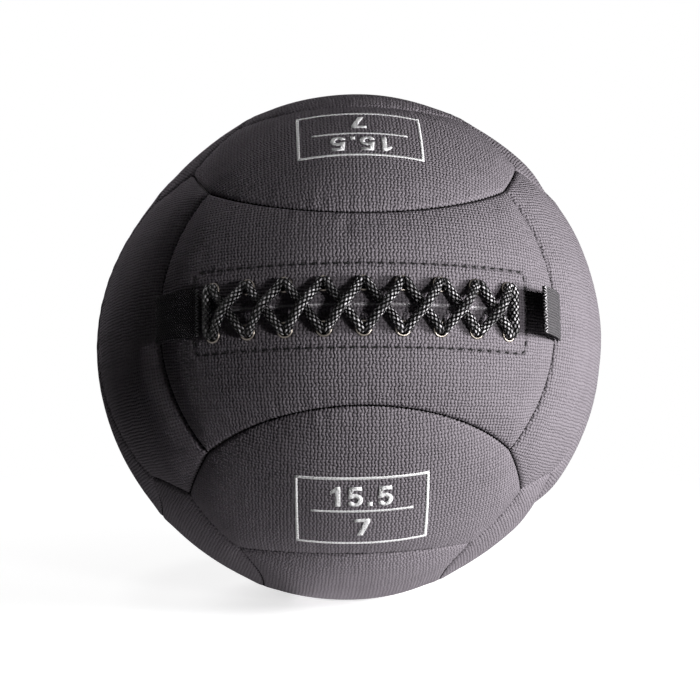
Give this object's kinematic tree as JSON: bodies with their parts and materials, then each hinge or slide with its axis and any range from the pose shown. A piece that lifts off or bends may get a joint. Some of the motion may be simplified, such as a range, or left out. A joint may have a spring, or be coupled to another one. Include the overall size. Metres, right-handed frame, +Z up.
{
  "type": "wall ball",
  "caption": "Soft weighted wall ball: dark sewn fabric cover of shaped panels, laced shut over a liner, padding and a bagged weight, with two folded webbing pull tabs.",
  "frame": {"origin": "centre of the flat spot that the ball rests on", "axes": "+Z up, -Y towards the laced panel, +X to the right of the lacing as seen from the front; the laced panel leans back by 14 degrees, as in the picture"},
  "size_m": [0.3492, 0.3553, 0.3475],
  "materials": {
    "cover_fabric": "matte woven, dark charcoal",
    "lace_cord": "satin braided, black",
    "webbing": "matte herringbone, black",
    "eyelet_metal": "dark nickel, satin",
    "facing_fabric": "matte woven, black",
    "liner_fabric": "matte, grey",
    "stuffing": "matte fibre, off-white",
    "core_bag": "matte coated, dark grey",
    "iron_sand": "matte grains, dark"
  },
  "bodies": {
    "ball": {"front_panel": "cover_fabric", "back_panel": "cover_fabric", "left_panel": "cover_fabric", "right_panel": "cover_fabric", "top_panel": "cover_fabric", "bottom_panel": "cover_fabric", "front_left_panel": "cover_fabric", "front_right_panel": "cover_fabric", "back_left_panel": "cover_fabric", "back_right_panel": "cover_fabric", "front_top_panel": "cover_fabric", "front_bottom_panel": "cover_fabric", "back_top_panel": "cover_fabric", "back_bottom_panel": "cover_fabric", "left_top_panel": "cover_fabric", "left_bottom_panel": "cover_fabric", "right_top_panel": "cover_fabric", "right_bottom_panel": "cover_fabric", "upper_eyelet_1": "eyelet_metal", "upper_eyelet_2": "eyelet_metal", "upper_eyelet_3": "eyelet_metal", "upper_eyelet_4": "eyelet_metal", "upper_eyelet_5": "eyelet_metal", "upper_eyelet_6": "eyelet_metal", "upper_eyelet_7": "eyelet_metal", "upper_eyelet_8": "eyelet_metal", "upper_eyelet_9": "eyelet_metal", "lower_eyelet_1": "eyelet_metal", "lower_eyelet_2": "eyelet_metal", "lower_eyelet_3": "eyelet_metal", "lower_eyelet_4": "eyelet_metal", "lower_eyelet_5": "eyelet_metal", "lower_eyelet_6": "eyelet_metal", "lower_eyelet_7": "eyelet_metal", "lower_eyelet_8": "eyelet_metal", "lower_eyelet_9": "eyelet_metal", "upper_facing": "facing_fabric", "lower_facing": "facing_fabric", "tongue": "facing_fabric", "lace": "lace_cord", "lace_knot": "lace_cord", "core_tie": "lace_cord", "liner": "liner_fabric", "front_stuffing": "stuffing", "back_stuffing": "stuffing", "core_bag": "core_bag", "core_fill": "iron_sand"},
    "left_tab": {"left_pull_tab": "webbing"},
    "right_tab": {"right_pull_tab": "webbing"}
  },
  "joints": [
    {"name": "left_tab_lift", "type": "hinge", "parent": "ball", "child": "left_tab", "pos_m": [-0.12847, -0.11459, 0.20163], "axis": [0, -0.2419, -0.9703], "range_deg": [0, 120]},
    {"name": "right_tab_lift", "type": "hinge", "parent": "ball", "child": "right_tab", "pos_m": [0.12863, -0.11473, 0.20166], "axis": [0, 0.2419, 0.9703], "range_deg": [-24, 96]}
  ]
}
